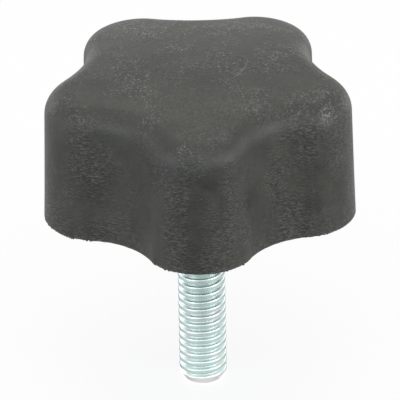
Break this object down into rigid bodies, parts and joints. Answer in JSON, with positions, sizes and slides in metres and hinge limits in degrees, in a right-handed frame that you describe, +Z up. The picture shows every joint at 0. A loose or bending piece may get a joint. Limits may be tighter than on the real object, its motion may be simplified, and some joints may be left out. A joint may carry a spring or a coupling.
{
  "type": "five-arm knob",
  "caption": "Hand knob with rounded arms, a domed top and a zinc-plated threaded stud moulded into its hub, turned by hand to clamp or adjust.",
  "frame": {"origin": "on the stud's axis, at the seat face of the hub under the head", "axes": "+Z up along the stud's axis through the domed top, so the stud points along -Z; -Y points along one arm"},
  "size_m": [0.0508, 0.0491, 0.0582],
  "materials": {
    "moulded_plastic": "matt moulded black polypropylene with a fine grain",
    "zinc_plated_steel": "bright clear zinc plate on a rolled thread"
  },
  "bodies": {
    "root": {"knob_head": "moulded_plastic", "threaded_stud": "zinc_plated_steel"}
  },
  "joints": []
}
